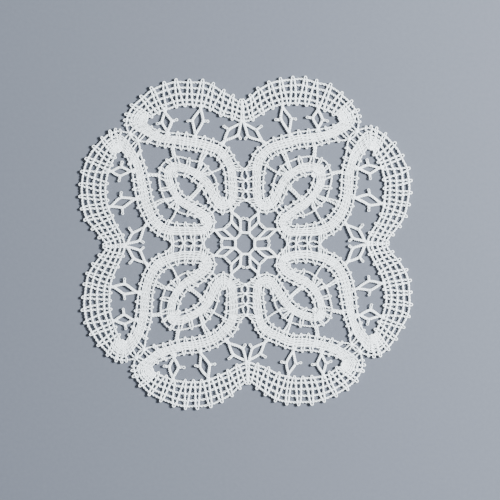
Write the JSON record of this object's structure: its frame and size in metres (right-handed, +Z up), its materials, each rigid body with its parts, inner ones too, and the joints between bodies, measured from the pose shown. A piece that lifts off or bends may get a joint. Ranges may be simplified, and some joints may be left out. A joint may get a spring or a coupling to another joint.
{
  "type": "bobbin lace motif",
  "caption": "Flat square motif of white bobbin lace with scalloped edges, a folded heart in each corner and an eyed rosette in the middle.",
  "frame": {"origin": "under the middle of the motif's bounding box, on the face that it lies on", "axes": "+Z up out of the lace's shown face, +Y towards the border at the top of the picture, +X towards its right"},
  "size_m": [0.1002, 0.0994, 0.001],
  "materials": {
    "lace_thread": "matte"
  },
  "bodies": {
    "root": {"rosette": "lace_thread", "border_north": "lace_thread", "dip_spray_north": "lace_thread", "axis_chain_north": "lace_thread", "plait_eye_1_north": "lace_thread", "plait_eye_2_north": "lace_thread", "plait_eye_3_north": "lace_thread", "plait_eye_4_north": "lace_thread", "heart_northeast": "lace_thread", "corner_chain_northeast": "lace_thread", "heart_net_left_northeast": "lace_thread", "heart_net_right_northeast": "lace_thread", "leaf_bar_northeast": "lace_thread", "border_east": "lace_thread", "dip_spray_east": "lace_thread", "axis_chain_east": "lace_thread", "plait_eye_1_east": "lace_thread", "plait_eye_2_east": "lace_thread", "plait_eye_3_east": "lace_thread", "plait_eye_4_east": "lace_thread", "heart_southeast": "lace_thread", "corner_chain_southeast": "lace_thread", "heart_net_left_southeast": "lace_thread", "heart_net_right_southeast": "lace_thread", "leaf_bar_southeast": "lace_thread", "border_south": "lace_thread", "dip_spray_south": "lace_thread", "axis_chain_south": "lace_thread", "plait_eye_1_south": "lace_thread", "plait_eye_2_south": "lace_thread", "plait_eye_3_south": "lace_thread", "plait_eye_4_south": "lace_thread", "heart_southwest": "lace_thread", "corner_chain_southwest": "lace_thread", "heart_net_left_southwest": "lace_thread", "heart_net_right_southwest": "lace_thread", "leaf_bar_southwest": "lace_thread", "border_west": "lace_thread", "dip_spray_west": "lace_thread", "axis_chain_west": "lace_thread", "plait_eye_1_west": "lace_thread", "plait_eye_2_west": "lace_thread", "plait_eye_3_west": "lace_thread", "plait_eye_4_west": "lace_thread", "heart_northwest": "lace_thread", "corner_chain_northwest": "lace_thread", "heart_net_left_northwest": "lace_thread", "heart_net_right_northwest": "lace_thread", "leaf_bar_northwest": "lace_thread"}
  },
  "joints": []
}
